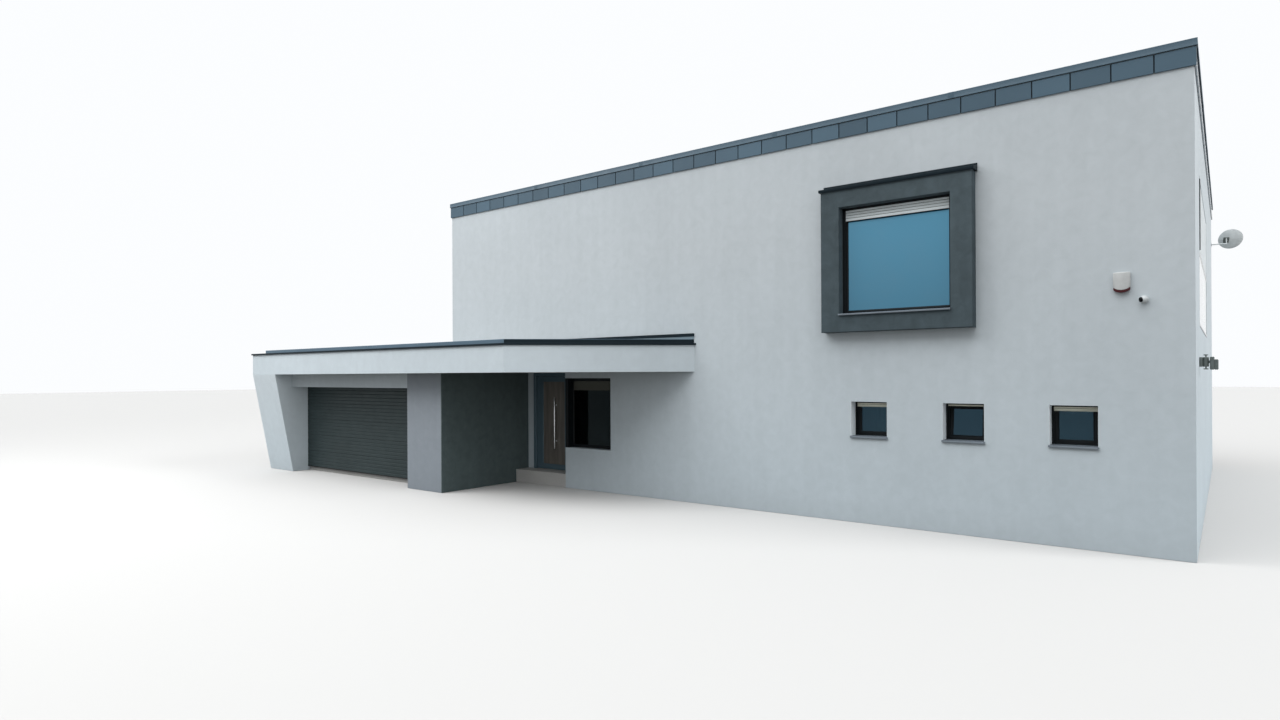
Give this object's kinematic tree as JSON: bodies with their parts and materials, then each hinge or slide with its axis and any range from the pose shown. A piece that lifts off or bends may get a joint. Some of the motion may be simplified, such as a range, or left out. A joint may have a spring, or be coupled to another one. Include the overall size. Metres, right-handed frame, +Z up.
{
  "type": "detached house",
  "caption": "Two-storey flat-roofed house with a metal parapet band, framed window, low garage wing and folded canopy; the entrance door swings inwards.",
  "frame": {"origin": "middle of the two-storey block's footprint, at the lowest ground that the walls reach", "axes": "+Z up, the front with the entrance faces -Y, the garage wing lies towards -X"},
  "size_m": [21.1893, 15.37, 6.9],
  "materials": {
    "white_render": "trowelled lime render",
    "dark_render": "trowelled render, anthracite",
    "concrete": "floated concrete",
    "roof_gravel": "gravel on a membrane",
    "sheet_metal": "matt coated sheet, anthracite",
    "garage_door_metal": "fine-ribbed coated steel",
    "window_frames": "matt dark grey",
    "window_glass": "insulating glass, blue reflection",
    "balustrade_glass": "laminated glass with a steel rail",
    "grey_slats": "coated roller slats, light grey",
    "beige_slats": "coated roller slats, beige grey",
    "sill_metal": "coated sheet, light grey",
    "door_paint": "dark blue grey, satin",
    "steel": "brushed",
    "white_plastic": "matt white",
    "lamp_metal": "black, matt",
    "dish_metal": "light grey, satin"
  },
  "bodies": {
    "root": {"house_floor_slab": "concrete", "garage_floor_slab": "concrete", "front_wall": "white_render", "front_wall_over_entrance": "white_render", "entrance_wall": "white_render", "entrance_lintel": "white_render", "right_wall": "white_render", "back_wall": "white_render", "left_wall": "white_render", "upper_floor_slab": "concrete", "roof_slab": "roof_gravel", "parapet_panels": "sheet_metal", "parapet_cap": "sheet_metal", "garage_left_wall": "white_render", "garage_lintel": "white_render", "garage_pillar": "white_render", "garage_side_wall": "white_render", "garage_back_wall": "white_render", "porch_wall_cladding": "dark_render", "garage_door": "garage_door_metal", "canopy_roof": "roof_gravel", "canopy_fascia": "white_render", "canopy_leg": "white_render", "canopy_coping": "sheet_metal", "wall_flashing": "sheet_metal", "window_surround": "dark_render", "window_surround_cap": "sheet_metal", "main_window_frame": "window_frames", "main_window_glass": "window_glass", "main_window_shutter": "grey_slats", "main_window_sill": "sill_metal", "small_window_frames": "window_frames", "small_window_glass": "window_glass", "small_window_shutters": "beige_slats", "small_window_sills": "sill_metal", "entrance_window_frame": "window_frames", "entrance_window_glass": "window_glass", "entrance_door_frame": "door_paint", "side_window_frame": "window_frames", "side_window_glass": "window_glass", "side_balustrade": "balustrade_glass", "rear_window_frames": "window_frames", "rear_window_glass": "window_glass", "alarm_siren": "white_plastic", "wall_camera": "white_plastic", "floodlight": "lamp_metal", "satellite_dish": "dish_metal"},
    "entrance_door": {"entrance_door_leaf": "door_paint", "entrance_door_pull": "steel"}
  },
  "joints": [
    {"name": "entrance_door_hinge", "type": "hinge", "parent": "root", "child": "entrance_door", "pos_m": [-5.057, -5.838, 1.404], "axis": [0, 0, 1], "range_deg": [0, 90]}
  ]
}
